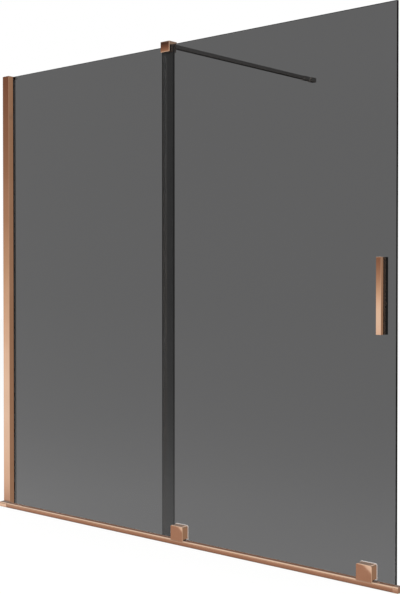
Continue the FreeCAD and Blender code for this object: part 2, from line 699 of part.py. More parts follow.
def make_arm_wall_block():
    x = about(bracket_middle, "block_width")
    z = about(arm_axis, "block_height")
    wall_block = solid_block("arm_wall_block", x, (block_front, "wall_distance"), z)
    round_edges(wall_block, "arm_edge", *long_edges(x, z), *[{"y": block_front, "x": side} for side in x],
                *[{"y": block_front, "z": level} for level in z])
    slot_end = f"{pivot} + tongue_width / 2 + fork_clearance"
    mill(wall_block, about(bracket_middle, "tongue_width + 2 * fork_clearance"),
         (f"{block_front} - pivot_gap", slot_end), about(arm_axis, "tongue_height + 2 * fork_clearance"))
    mill(wall_block, about(bracket_middle, "block_width - 2 * block_wall"),
         (hollow_start, "wall_distance + block_wall"), about(arm_axis, "block_height - 2 * block_wall"))
    drill(wall_block, "z", (bracket_middle, pivot, f"{block_base} - block_wall"),
          "pivot_radius + thread_clearance", "block_height * 2")
    drill(wall_block, "z", (bracket_middle, block_grub, f"{block_base} - block_wall / 2"), grub_hole,
          "block_wall * 2")


def make_arm():
    make_arm_tube()
    make_arm_end_fitting()
    make_arm_wall_block()
    group("arm_pivot_pin", [rod("pivot_pin", "z", (bracket_middle, pivot, f"{block_base} + small_clearance"),
                                "pivot_radius", "block_height - 2 * small_clearance")])
    fit = "2 * (block_wall + small_clearance)"
    plate = solid_block("arm_wall_plate", about(bracket_middle, f"block_width - {fit}"),
                        (plate_front, "wall_distance"), about(arm_axis, f"block_height - {fit}"))
    drill(plate, "y", (bracket_middle, f"{plate_front} - plate_depth", arm_axis), "plate_hole_radius",
          "plate_depth * 3")
    group("arm_grub_screws", [
        rod("arm_grub", "z", (bracket_middle, arm_grub, f"{arm_base} + thread_clearance"), "grub_radius",
            "arm_wall"),
        rod("collar_grub", "z", (bracket_middle, collar_grub, collar_base), "grub_radius",
            "collar_border + thread_clearance"),
        rod("block_grub", "z", (bracket_middle, block_grub, f"{block_base} + small_clearance"), "grub_radius",
            "block_wall"),
    ])


# Sliding pane with its seals.
carriage_base = f"({rail_top} + carriage_lift)"
carriage_top = f"({carriage_base} + carriage_height)"
bolt_height = f"({carriage_base} + bolt_rise)"
handle_middle = f"({slide_right} - handle_inset - handle_width / 2)"
stud_heights = about("handle_height", "stud_spacing")


def bolt_places():
    return [x for middle in carriages.values() for x in about(middle, "bolt_spacing")]


def make_sliding_pane():
    pane = make_pane("sliding_glass", (slide_left, slide_right), ("slide_base", slide_top),
                     slide_front, slide_rear)
    before = f"{slide_front} - glass_thickness"
    for x in bolt_places():
        drill(pane, "y", (x, before, bolt_height), "bolt_hole_radius", "glass_thickness * 3")
    for height in stud_heights:
        drill(pane, "y", (handle_middle, before, height), "stud_hole_radius", "glass_thickness * 3")


def make_seals():
    foot_end = f"{slide_left} + seal_width"
    fin_end = f"{slide_left} + seal_wall"
    foot_rear = f"{slide_rear} + seal_wall"
    fin_tip = f"{fixed_front} - seal_clearance"
    overlap = [
        (slide_left, slide_rear), (foot_end, slide_rear), (foot_end, foot_rear), (fin_end, foot_rear),
        (fin_end, fin_tip), (slide_left, fin_tip),
    ]
    extrusion("overlap_seal", "XY_Plane", [overlap],
              ("sill_height + seal_margin", f"{bracket_base} - seal_margin"))
    outer_front = f"{slide_front} - drip_wall"
    outer_rear = f"{slide_rear} + drip_wall"
    middle = f"({slide_front} + {slide_rear}) / 2"
    fin_front = f"{middle} - drip_wall / 2"
    fin_rear = f"{middle} + drip_wall / 2"
    floor = "slide_base - drip_wall"
    fin_base = "slide_base - drip_wall - drip_fin"
    grip = "slide_base + drip_grip"
    drip = [
        (outer_front, floor), (fin_front, floor), (fin_front, fin_base), (fin_rear, fin_base),
        (fin_rear, floor), (outer_rear, floor), (outer_rear, grip), (slide_rear, grip),
        (slide_rear, "slide_base"), (slide_front, "slide_base"), (slide_front, grip), (outer_front, grip),
    ]
    extrusion("bottom_drip_seal", "YZ_Plane", [drip],
              (f"{slide_left} + drip_inset", f"{slide_right} - drip_inset"))


# Handle: one bar on each face of the sliding pane, on shared studs.
def make_handle_bar(name, near, far, hole_start):
    x = about(handle_middle, "handle_width")
    z = about("handle_height", "handle_length")
    bar = solid_block(name, x, (near, far), z)
    round_edges(bar, "handle_edge", *box_edges(x, (near, far), z))
    for height in stud_heights:
        drill(bar, "y", (handle_middle, hole_start, height), "stud_radius + thread_clearance", "stud_grip")


def make_handle():
    outer_seat = f"({slide_front} - handle_gasket)"
    inner_seat = f"({slide_rear} + handle_gasket)"
    make_handle_bar("handle_outer", f"{slide_front} - handle_depth", outer_seat, f"{outer_seat} - stud_grip")
    make_handle_bar("handle_inner", inner_seat, f"{slide_rear} + inner_depth", inner_seat)
    reach = "(stud_grip - small_clearance)"
    studs = []
    bushes = []
    for index, height in enumerate(stud_heights, 1):
        start = f"{outer_seat} - {reach}"
        studs.append(rod(f"handle_stud_{index}", "y", (handle_middle, start, height), "stud_radius",
                         span(start, f"{inner_seat} + {reach}")))
        bushes.append(tube(f"handle_bush_{index}", "y", (handle_middle, slide_front, height),
                           "stud_hole_radius - small_clearance", "stud_radius + thread_clearance",
                           "glass_thickness"))
    group("handle_studs", studs)
    group("handle_bushes", bushes)
    gaskets = []
    for side, y in (("outer", (outer_seat, slide_front)), ("inner", (slide_rear, inner_seat))):
        pad = block(f"handle_pad_{side}", about(handle_middle, "handle_width - 2 * gasket_margin"), y,
                    about("handle_height", "handle_length - 2 * gasket_margin"))
        holes = [rod(f"handle_pad_hole_{side}_{index}", "y", (handle_middle, y[0], height),
                     "stud_radius + thread_clearance", "handle_gasket")
                 for index, height in enumerate(stud_heights, 1)]
        gaskets.append(cut(f"handle_gasket_{side}", pad, fused(f"handle_pad_holes_{side}", holes)))
    group("handle_gaskets", gaskets)


# Carriages: cover, back plate and chassis on the sliding pane, with two wheels each in the rail's groove.
gasket_front = f"({slide_front} - carriage_gasket)"
backplate_front = f"({gasket_front} - backplate_thickness)"
axle_height = f"({groove_floor} + wheel_clearance + wheel_radius)"
cheek_inner = "(wheel_width + 2 * cheek_clearance)"
cheek_outer = f"({cheek_inner} + 2 * cheek_thickness)"
front_cheek = (f"{groove_middle} - {cheek_outer} / 2", f"{groove_middle} - {cheek_inner} / 2")
rear_cheek = (f"{groove_middle} + {cheek_inner} / 2", f"{groove_middle} + {cheek_outer} / 2")
bridge_base = f"({axle_height} + wheel_radius + wheel_headroom)"
cheek_base = f"({rail_top} + cheek_lift)"
inner_ring_radius = "(bearing_bore_radius + ring_thickness)"


# The cover's front reaches down over the rail's rounded edge; its sides and back stop above the rail.
def make_carriage_cover(side, middle):
    x = about(middle, "carriage_width")
    past = about(middle, "carriage_width * 2")
    skirt_base = f"{rail_top} - skirt_drop"
    blank_base = f"{skirt_base} - 2 * cover_edge"
    cover = solid_block(f"carriage_cover_{side}", x, (rail_front, backplate_front),
                        (blank_base, carriage_top))
    round_edges(cover, "cover_corner", *[{"x": edge, "z": carriage_top} for edge in x])
    round_edges(cover, "cover_edge", {"y": rail_front})
    below = f"{blank_base} - cover_wall"
    before = f"{rail_front} - cover_wall"
    behind = f"{backplate_front} + cover_wall"
    mill(cover, about(middle, "carriage_width - 2 * cover_wall"), (f"{rail_front} + cover_wall", behind),
         (below, f"{carriage_top} - cover_wall"))
    mill(cover, past, (f"{rail_front} + notch_setback", behind), (below, f"{carriage_base} + notch_height"))
    mill(cover, past, (f"{rail_front} + rail_edge", behind), (below, carriage_base))
    mill(cover, past, (before, behind), (below, skirt_base))
    drill(cover, "x", (past[0], f"{rail_front} + rail_edge", f"{rail_top} - rail_edge"),
          "rail_edge + skirt_clearance", "carriage_width * 2")


def make_carriage_backplate(side, middle):
    x = about(middle, "carriage_width + 2 * backplate_proud")
    top = f"{carriage_top} + backplate_proud"
    plate = extrusion(f"carriage_backplate_{side}", "XZ_Plane", [rectangle(x, (carriage_base, top))],
                      (backplate_front, gasket_front))
    round_edges(plate, "cover_corner", *[{"x": edge, "z": top} for edge in x])
    round_edges(plate, "backplate_edge", {"y": backplate_front})
    for hole in about(middle, "bolt_spacing"):
        drill(plate, "y", (hole, f"{backplate_front} - backplate_thickness", bolt_height),
              "bolt_radius + thread_clearance", "backplate_thickness * 3")


def wheel_places(middle):
    return dict(zip(("left", "right"), about(middle, "wheel_spacing")))


def make_carriage_chassis(side, middle):
    x = about(middle, "chassis_width")
    chassis = solid_block(f"carriage_chassis_{side}", x, (front_cheek[0], backplate_front),
                          (bridge_base, f"{bridge_base} + chassis_height"))
    for cheek in (front_cheek, rear_cheek):
        extend(chassis, x, cheek, (cheek_base, bridge_base))
    for wheel in wheel_places(middle).values():
        drill(chassis, "y", (wheel, f"{front_cheek[0]} - cheek_thickness", axle_height),
              "bearing_bore_radius", f"{cheek_outer} + 2 * cheek_thickness")
    for bolt in about(middle, "bolt_spacing"):
        drill(chassis, "y", (bolt, f"{backplate_front} - bolt_grip", bolt_height),
              "bolt_radius + thread_clearance", "bolt_grip + backplate_thickness")


def make_carriage_fasteners():
    bolts = []
    bushes = []
    gaskets = []
    washer_rear = f"({slide_rear} + bolt_washer)"
    for index, x in enumerate(bolt_places(), 1):
        tip = f"{backplate_front} - bolt_grip + small_clearance"
        shank = rod(f"bolt_shank_{index}", "y", (x, tip, bolt_height), "bolt_radius", span(tip, washer_rear))
        head = rod(f"bolt_head_{index}", "y", (x, washer_rear, bolt_height), "bolt_head_radius", "bolt_head")
        bolts.append(fused(f"carriage_bolt_{index}", [shank, head]))
        bushes.append(tube(f"carriage_bush_{index}", "y", (x, slide_front, bolt_height),
                           "bolt_hole_radius - small_clearance", "bolt_radius + thread_clearance",
                           "glass_thickness"))
        gaskets.append(tube(f"bolt_washer_{index}", "y", (x, slide_rear, bolt_height), "bolt_head_radius",
                            "bolt_radius + thread_clearance", "bolt_washer"))
    for side, middle in carriages.items():
        pad = block(f"carriage_pad_{side}", about(middle, "carriage_width - 2 * gasket_margin"),
                    (gasket_front, slide_front),
                    (f"{carriage_base} + gasket_margin", f"{carriage_top} - gasket_margin"))
        holes = [rod(f"carriage_pad_hole_{side}_{index}", "y", (x, gasket_front, bolt_height),
                     "bolt_radius + thread_clearance", "carriage_gasket")
                 for index, x in enumerate(about(middle, "bolt_spacing"), 1)]
        gaskets.append(cut(f"carriage_gasket_{side}", pad, fused(f"carriage_pad_holes_{side}", holes)))
    group("carriage_bolts", bolts)
    group("carriage_bushes", bushes)
    group("carriage_gaskets", gaskets)


def make_wheel(name, x):
    wheel_front = f"{groove_middle} - wheel_width / 2"
    wheel = document.addObject("PartDesign::Body", name)
    rod(f"{name}_tread", "y", (x, wheel_front, axle_height), "wheel_radius", "wheel_width", wheel,
        "PartDesign::AdditiveCylinder")
    bevel_edges(wheel, "wheel_chamfer", {"y": wheel_front}, {"y": f"{groove_middle} + wheel_width / 2"})
    drill(wheel, "y", (x, f"{wheel_front} - wheel_width", axle_height), "bearing_radius + fit_clearance",
          "wheel_width * 3")
    piece(wheel)


def make_bearing(name, x):
    ring_front = f"{groove_middle} - bearing_width / 2"
    start = (x, ring_front, axle_height)
    piece(tube(f"{name}_outer_ring", "y", start, "bearing_radius", "bearing_radius - ring_thickness",
               "bearing_width"))
    inner = tube(f"{name}_inner_ring", "y", start, inner_ring_radius, "bearing_bore_radius", "bearing_width")
    pitch_radius = "(bearing_radius + bearing_bore_radius) / 2"
    balls = []
    for index in range(BALLS_PER_BEARING):
        angle = 2 * math.pi * index / BALLS_PER_BEARING
        ball = document.addObject("Part::Sphere", f"{name}_ball_{index + 1}")
        bind(ball, Radius="(bearing_radius - bearing_bore_radius) / 2 - ring_thickness - ball_clearance")
        place(ball, f"{x} + {math.cos(angle):.6f} * {pitch_radius}", groove_middle,
              f"{axle_height} + {math.sin(angle):.6f} * {pitch_radius}")
        balls.append(ball)
    return inner, balls


def make_axle(name, x):
    seat = "bearing_bore_radius - fit_clearance"
    start = front_cheek[0]
    shank = rod(f"{name}_shank", "y", (x, start, axle_height), seat, cheek_outer)
    head = rod(f"{name}_head", "y", (x, f"{start} - axle_head", axle_height), "axle_head_radius", "axle_head")
    gap = f"({cheek_inner} - bearing_width) / 2"
    spacer_starts = (front_cheek[1], f"{groove_middle} + bearing_width / 2")
    spacers = []
    for index, y in enumerate(spacer_starts, 1):
        spacers.append(tube(f"{name}_spacer_{index}", "y", (x, y, axle_height), inner_ring_radius,
                            "bearing_bore_radius", gap))
    return fused(name, [shank, head]), spacers


def make_wheel_sets():
    axles = []
    spacers = []
    inner_rings = []
    balls = []
    for carriage, middle in carriages.items():
        for wheel, x in wheel_places(middle).items():
            name = f"{carriage}_carriage_{wheel}"
            make_wheel(f"{name}_wheel", x)
            inner, bearing_balls = make_bearing(f"{name}_bearing", x)
            axle, axle_spacers = make_axle(f"{name}_axle", x)
            inner_rings.append(inner)
            balls.extend(bearing_balls)
            axles.append(axle)
            spacers.extend(axle_spacers)
    group("wheel_axles", axles)
    group("axle_spacers", spacers)
    group("bearing_inner_rings", inner_rings)
    group("bearing_balls", balls)


def make_carriages():
    for side, middle in carriages.items():
        make_carriage_cover(side, middle)
        make_carriage_backplate(side, middle)
        make_carriage_chassis(side, middle)
    make_carriage_fasteners()
    make_wheel_sets()


make_wall_channel()
make_glass_profile()
make_profile_top_cap()
make_lock_screws()
make_glazing()
make_fixed_pane()
make_rail()
make_bracket_body()
make_bracket_inserts()
make_arm()
make_sliding_pane()
make_seals()
make_handle()
make_carriages()
document.recompute()

for item in document.Objects:
    if "Invalid" in item.State or "Error" in item.State:
        raise RuntimeError(f"{item.Label} did not compute: {item.State}")
for item in pieces:
    if item.Shape.isNull() or not item.Shape.isValid():
        raise RuntimeError(f"{item.Label} has no valid shape")
    if item.TypeId == "PartDesign::Body" and len(item.Shape.Solids) != 1:
        raise RuntimeError(f"{item.Label} came out as {len(item.Shape.Solids)} solids")

os.makedirs("parts", exist_ok=True)
for item in pieces:
    item.Shape.exportStep(f"parts/{item.Label}.step")
print(f"{len(pieces)} pieces written")
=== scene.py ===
import math

import bmesh
import bpy
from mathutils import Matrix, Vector


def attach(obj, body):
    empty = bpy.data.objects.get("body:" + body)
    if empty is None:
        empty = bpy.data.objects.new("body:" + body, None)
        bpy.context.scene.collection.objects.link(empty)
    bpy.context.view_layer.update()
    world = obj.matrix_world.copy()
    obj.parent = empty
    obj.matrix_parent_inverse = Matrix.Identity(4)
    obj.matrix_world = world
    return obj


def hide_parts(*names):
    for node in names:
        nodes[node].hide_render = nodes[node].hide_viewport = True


# Sliding bath screen in smoked glass and satin rose gold. Metres: wall at x = 0, room at -y, bath at +y.

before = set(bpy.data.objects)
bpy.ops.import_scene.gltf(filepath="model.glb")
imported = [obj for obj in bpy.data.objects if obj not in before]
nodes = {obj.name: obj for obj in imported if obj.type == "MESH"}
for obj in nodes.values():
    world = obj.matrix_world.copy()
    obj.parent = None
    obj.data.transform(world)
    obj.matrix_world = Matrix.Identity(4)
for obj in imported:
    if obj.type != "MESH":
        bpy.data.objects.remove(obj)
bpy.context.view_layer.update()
sides = ("left", "right")
wheels = [f"{carriage}_carriage_{wheel}" for carriage in sides for wheel in sides]
print("frame loaded:", len(nodes), "pieces")


# lowest and highest corner of a piece
def boxOf(piece):
    places = [vertex.co for vertex in piece.data.vertices]
    return [Vector([most(place[axis] for place in places) for axis in range(3)]) for most in (min, max)]


# sRGB hex to linear
def linearColour(code):
    channels = [int(code[i:i + 2], 16) / 255 for i in (1, 3, 5)]
    return [c / 12.92 if c <= 0.04045 else ((c + 0.055) / 1.055) ** 2.4 for c in channels] + [1.0]


# a node with its settings, and for each input a value or the socket that feeds it
def addNode(tree, kind, inputs=None, stops=None, **settings):
    node = tree.nodes.new(kind)
    for name, value in settings.items():
        setattr(node, name, value)
    for socket, value in (inputs or {}).items():
        if isinstance(value, bpy.types.NodeSocket):
            tree.links.new(value, node.inputs[socket])
        else:
            node.inputs[socket].default_value = value
    if stops:
        ramp = node.color_ramp.elements
        while len(ramp) < len(stops):
            ramp.new(0.5)
        for stop, (place, colour) in zip(ramp, stops):
            stop.position = place
            stop.color = colour
    return node


def newMaterial(name):
    material = bpy.data.materials.new(name)
    material.use_nodes = True
    material.node_tree.nodes.clear()
    return material, material.node_tree


# scale of a noise whose spots are this many millimetres wide
def spotScale(millimetres):
    return 1000 / millimetres


# scale of wave bands this many millimetres apart: a wave runs through 20 radians in a metre at scale 1
def bandScale(millimetres):
    return 2 * math.pi * 1000 / millimetres / 20


noiseRange = (0.3, 0.7)  # a noise mostly lies between these


# ramp stops from a dark to a light tone, for a noise
def noiseTones(dark, light):
    return [(0.35, linearColour(dark)), (0.65, linearColour(light))]


# Anodised aluminium: extruded, fine blasted and dyed rose gold. A soft satin glow, with faint die lines.
satinRose = {
    "light": "#e2bda2", "deep": "#ddb89c", "clouds": 90,  # colour drifts over about 90 mm
    "grain": 1.6,                                         # blast grain is 0.1 mm, drawn coarser to show
    "dieLines": 2.4, "stretch": 0.02,                     # die lines 2.4 mm apart, drawn out 50 times
    "roughness": (0.07, 0.11), "bump": 0.02, "relief": 0.0002,
}

# Zinc and brass: cast or cut, polished, then plated to the same colour. No die lines, only a slow drift.
platedRose = dict(satinRose, dieLines=30)

# Back plates take a pale copy of the rose finish as a painted highlight on their rims; the arm takes the same
# pale copy, and the inner bar, nearly grey behind the glass, another plating.
paleRose = dict(satinRose, light="#f0ebe7", deep="#eae5e1")
greyPlate = dict(platedRose, light="#868f96", deep="#808990")


# crowns: polishing rounds a face off, each from a start along a way, to a radius
# shade reach: painted shade, the metal's colour darkened by ambient occlusion in crevices and close to other
# pieces, within this reach
def makeSatinRose(name, look, along="", crowns=(), paintedShadeReach=0):
    material, tree = newMaterial(name)
    place = addNode(tree, "ShaderNodeTexCoord").outputs["Object"]
    stretch = [look["stretch"] if axis == along else 1 for axis in "xyz"]
    lineSpace = addNode(tree, "ShaderNodeMapping", {"Vector": place, "Scale": stretch})
    lines = addNode(tree, "ShaderNodeTexNoise", {"Vector": lineSpace.outputs[0], "Detail": 3,
                                                 "Scale": spotScale(look["dieLines"])})
    grain = addNode(tree, "ShaderNodeTexNoise", {"Vector": place, "Detail": 2,
                                                 "Scale": spotScale(look["grain"])})
    clouds = addNode(tree, "ShaderNodeTexNoise", {"Vector": place, "Detail": 1,
                                                  "Scale": spotScale(look["clouds"])})
    tone = addNode(tree, "ShaderNodeValToRGB", {"Fac": clouds.outputs["Fac"]},
                   noiseTones(look["deep"], look["light"]))
    mixed = addNode(tree, "ShaderNodeMath", {0: lines.outputs["Fac"], 1: grain.outputs["Fac"]},
                    operation="ADD")
    rough = addNode(tree, "ShaderNodeMapRange", {"Value": mixed.outputs[0], "From Min": 2 * noiseRange[0],
                                                 "From Max": 2 * noiseRange[1],
                                                 "To Min": look["roughness"][0],
                                                 "To Max": look["roughness"][1]})
    bump = addNode(tree, "ShaderNodeBump", {"Height": mixed.outputs[0], "Strength": look["bump"],
                                            "Distance": look["relief"]})
    arch = 0.0
    for way, start, radius in crowns:
        reach = addNode(tree, "ShaderNodeVectorMath", {0: place, 1: way}, operation="DOT_PRODUCT")
        past = addNode(tree, "ShaderNodeMath", {0: reach.outputs["Value"], 1: start}, operation="SUBTRACT")
        away = addNode(tree, "ShaderNodeMath", {0: past.outputs[0], 1: 0.0}, operation="MAXIMUM").outputs[0]
        square = addNode(tree, "ShaderNodeMath", {0: away, 1: away}, operation="MULTIPLY").outputs[0]
        arch = addNode(tree, "ShaderNodeMath", {0: square, 1: -0.5 / radius, 2: arch},
                       operation="MULTIPLY_ADD").outputs[0]
    if crowns:
        crown = addNode(tree, "ShaderNodeBump", {"Height": arch, "Strength": 1.0, "Distance": 1.0})
        tree.links.new(crown.outputs[0], bump.inputs["Normal"])
    # painted shade: ambient occlusion darkens the colour in crevices and close to other pieces
    if paintedShadeReach:
        tone = addNode(tree, "ShaderNodeAmbientOcclusion", {"Color": tone.outputs[0], "Distance": paintedShadeReach},
                       samples=16)
    shader = addNode(tree, "ShaderNodeBsdfPrincipled", {"Base Color": tone.outputs[0], "Metallic": 1.0,
                                                        "Roughness": rough.outputs[0],
                                                        "Normal": bump.outputs[0]})
    addNode(tree, "ShaderNodeOutputMaterial", {"Surface": shader.outputs[0]})
    return material


# Grey tinted float glass, toughened and polished: dark and clear, with a long faint roller wave.
smokedGlass = {"tint": "#7d7d7e", "density": 306, "ior": 1.5, "wave": 280, "waveSway": 0.6, "bump": 0.01,
               "relief": 0.0005}


def makeSmokedGlass():
    look = smokedGlass
    material, tree = newMaterial("Grey tinted toughened glass")
    place = addNode(tree, "ShaderNodeTexCoord").outputs["Object"]
    wave = addNode(tree, "ShaderNodeTexWave", {"Vector": place, "Scale": bandScale(look["wave"]),
                                               "Distortion": look["waveSway"], "Detail": 1},
                   bands_direction="Z", wave_profile="SIN")
    bump = addNode(tree, "ShaderNodeBump", {"Height": wave.outputs["Fac"], "Strength": look["bump"],
                                            "Distance": look["relief"]})
    shader = addNode(tree, "ShaderNodeBsdfPrincipled", {"Base Color": (1, 1, 1, 1), "Roughness": 0.0,
                                                        "IOR": look["ior"], "Transmission Weight": 1.0,
                                                        "Normal": bump.outputs[0]})
    smoke = addNode(tree, "ShaderNodeVolumeAbsorption", {"Color": linearColour(look["tint"]),
                                                         "Density": look["density"]})
    addNode(tree, "ShaderNodeOutputMaterial", {"Surface": shader.outputs[0], "Volume": smoke.outputs[0]})
    return material


# Soft clear PVC: extruded, slightly hazy with flow lines.
clearVinyl = {"colour": "#e8eaea", "haze": (0.03, 0.08), "flow": 6, "ior": 1.53}


def makeClearVinyl():
    look = clearVinyl
    material, tree = newMaterial("Soft clear PVC")
    place = addNode(tree, "ShaderNodeTexCoord").outputs["Object"]
    flow = addNode(tree, "ShaderNodeTexNoise", {"Vector": place, "Detail": 2,
                                                "Scale": spotScale(look["flow"])})
    rough = addNode(tree, "ShaderNodeMapRange", {"Value": flow.outputs["Fac"], "From Min": noiseRange[0],
                                                 "From Max": noiseRange[1],
                                                 "To Min": look["haze"][0], "To Max": look["haze"][1]})
    shader = addNode(tree, "ShaderNodeBsdfPrincipled", {"Base Color": linearColour(look["colour"]),
                                                        "Roughness": rough.outputs[0], "IOR": look["ior"],
                                                        "Transmission Weight": 1.0})
    addNode(tree, "ShaderNodeOutputMaterial", {"Surface": shader.outputs[0]})
    return material


# EPDM glazing rubber: extruded, matt black with a fine skin.
glazingRubber = {"light": "#121213", "dark": "#0a0a0b", "mottle": 0.9, "roughness": (0.6, 0.75), "bump": 0.12,
                 "gloss": 0.15}

# Glass filled nylon: moulded, black with a waxy, uneven sheen.
mouldedNylon = {"light": "#1b1b1c", "dark": "#111112", "mottle": 4, "roughness": (0.38, 0.52), "bump": 0.06,
                "gloss": 0.2}

# The same nylon dyed to the metal's colour, for the stops that lie open in the rail, with painted shade
# darkening it in crevices.
roseNylon = dict(mouldedNylon, light="#b98c6f", dark="#a87c61", paintedShadeReach=0.02)

# Ground edge of grey glass: along the sheet the tint adds up to nearly black, with a fine dull grind.
groundEdge = {"light": "#0c0d0e", "dark": "#060707", "mottle": 0.8, "roughness": (0.5, 0.65), "bump": 0.08,
              "gloss": 0.08}

# Zinc plated steel: bright grey with a crystalline drift.
zincSteel = {"light": "#c9ccd0", "dark": "#a9adb3", "mottle": 1.5, "roughness": (0.25, 0.42), "bump": 0.05}

# Dark steel: nearly black as painted shade in the rail's groove by the carriage, for the screws in the rail.
shadeDarkSteel = {"light": "#2a2523", "dark": "#1c1817", "mottle": 1.2, "roughness": (0.35, 0.5), "bump": 0.05}

# Bearing steel: ground bright, with very fine grinding marks.
groundSteel = {"light": "#d8dadd", "dark": "#c4c7cc", "mottle": 0.6, "roughness": (0.08, 0.16), "bump": 0.02}

# Mill finish aluminium: extruded, dull silver.
millAluminium = {"light": "#cfd1d3", "dark": "#b9bcbf", "mottle": 3, "roughness": (0.36, 0.5), "bump": 0.08}

# Acrylic foam tape: pale grey, open pored.
foamTape = {"light": "#c3c4c3", "dark": "#a3a5a5", "mottle": 0.7, "roughness": (0.75, 0.9), "bump": 0.4}

mottleRelief = 0.0003  # height of the mottle at full bump


def makeMottled(name, look, metallic=0.0):
    material, tree = newMaterial(name)
    place = addNode(tree, "ShaderNodeTexCoord").outputs["Object"]
    spots = addNode(tree, "ShaderNodeTexNoise", {"Vector": place, "Detail": 4,
                                                 "Scale": spotScale(look["mottle"])})
    tone = addNode(tree, "ShaderNodeValToRGB", {"Fac": spots.outputs["Fac"]},
                   noiseTones(look["dark"], look["light"]))
    # painted shade: ambient occlusion darkens the colour in crevices and close to other pieces
    if "paintedShadeReach" in look:
        tone = addNode(tree, "ShaderNodeAmbientOcclusion", {"Color": tone.outputs[0],
                                                            "Distance": look["paintedShadeReach"]}, samples=16)
    rough = addNode(tree, "ShaderNodeMapRange", {"Value": spots.outputs["Fac"], "From Min": noiseRange[0],
                                                 "From Max": noiseRange[1],
                                                 "To Min": look["roughness"][0],
                                                 "To Max": look["roughness"][1]})
    bump = addNode(tree, "ShaderNodeBump", {"Height": spots.outputs["Fac"], "Strength": look["bump"],
                                            "Distance": mottleRelief})
    shader = addNode(tree, "ShaderNodeBsdfPrincipled", {"Base Color": tone.outputs[0], "Metallic": metallic,
                                                        "Roughness": rough.outputs[0],
                                                        "Specular IOR Level": look.get("gloss", 0.5),
                                                        "Normal": bump.outputs[0]})
    addNode(tree, "ShaderNodeOutputMaterial", {"Surface": shader.outputs[0]})
    return material


upward, downward = (0, 0, 1), (0, 0, -1)


# a crown from the middle of a piece's height, both ways
def middleCrown(name, radius):
    low, high = boxOf(nodes[name])
    middle = (low.z + high.z) / 2
    return [(upward, middle, radius), (downward, -middle, radius)]


# Carriage covers: a wide crown off the upper right corner, and a tight one along the top.
coverCrown = {"slope": (0.8, 0, 1), "corner": {"left": 0.0234, "right": 0.0353}, "radius": 0.4,
              "top": 0.0025, "topRadius": {"left": 0.04, "right": 0.03}}


def makeCoverRose(side):
    high = boxOf(nodes[f"carriage_cover_{side}"])[1]
    start = Vector(coverCrown["slope"]).dot(high) - coverCrown["corner"][side]
    crowns = [(coverCrown["slope"], start, coverCrown["radius"]),
              (upward, high.z - coverCrown["top"], coverCrown["topRadius"][side])]
    return makeSatinRose(f"Rose gold plated zinc, {side} cover", platedRose, crowns=crowns)


# Metres: radii of the crowns on the handle, bracket and end caps, and how far painted shade darkens the metal
# in crevices.
polish = {"handle": 1.275, "bracket": 0.157, "capStart": -0.02, "cap": 0.64}
paintedShadeReaches = {"post": 0.005, "rail": 0.01, "cap": 0.005}

roseUp = makeSatinRose("Rose gold anodised aluminium, upright", satinRose, "z", paintedShadeReach=paintedShadeReaches["post"])
roseAcross = makeSatinRose("Rose gold anodised aluminium, level", satinRose, "x", paintedShadeReach=paintedShadeReaches["rail"])
rosePlated = makeSatinRose("Rose gold plated zinc", platedRose)
roseHandle = makeSatinRose("Rose gold plated brass, polished bar", satinRose, "z",
                           middleCrown("handle_outer", polish["handle"]))
roseBracket = makeSatinRose("Rose gold plated zinc, polished block", platedRose,
                            crowns=middleCrown("bracket_body", polish["bracket"]))
roseCap = makeSatinRose("Rose gold plated zinc, end cap", platedRose,
                        crowns=[(upward, polish["capStart"], polish["cap"])], paintedShadeReach=paintedShadeReaches["cap"])
roseCover = {side: makeCoverRose(side) for side in sides}
# pale copy of the rose finish: painted rim highlight on the back plates, also worn by the arm's fittings
palePlatedAndRimHighlight = makeSatinRose("Pale rose plated zinc, painted rim highlight", dict(paleRose, dieLines=platedRose["dieLines"]))
paleArm = makeSatinRose("Pale rose anodised aluminium", paleRose, "y")
greyPlated = makeSatinRose("Grey plated brass", greyPlate)
smoke = makeSmokedGlass()
groundGlass = makeMottled("Grey tinted glass, ground edge", groundEdge)
rubber = makeMottled("EPDM rubber", glazingRubber)
vinyl = makeClearVinyl()
nylon = makeMottled("Glass filled nylon", mouldedNylon)
dyedNylon = makeMottled("Rose dyed nylon", roseNylon)
zinc = makeMottled("Zinc plated steel", zincSteel, metallic=1.0)
shadeDarkened = makeMottled("Steel darkened as painted shade", shadeDarkSteel, metallic=1.0)
bright = makeMottled("Ground bearing steel", groundSteel, metallic=1.0)
mill = makeMottled("Mill finish aluminium", millAluminium, metallic=1.0)
foam = makeMottled("Acrylic foam tape", foamTape)

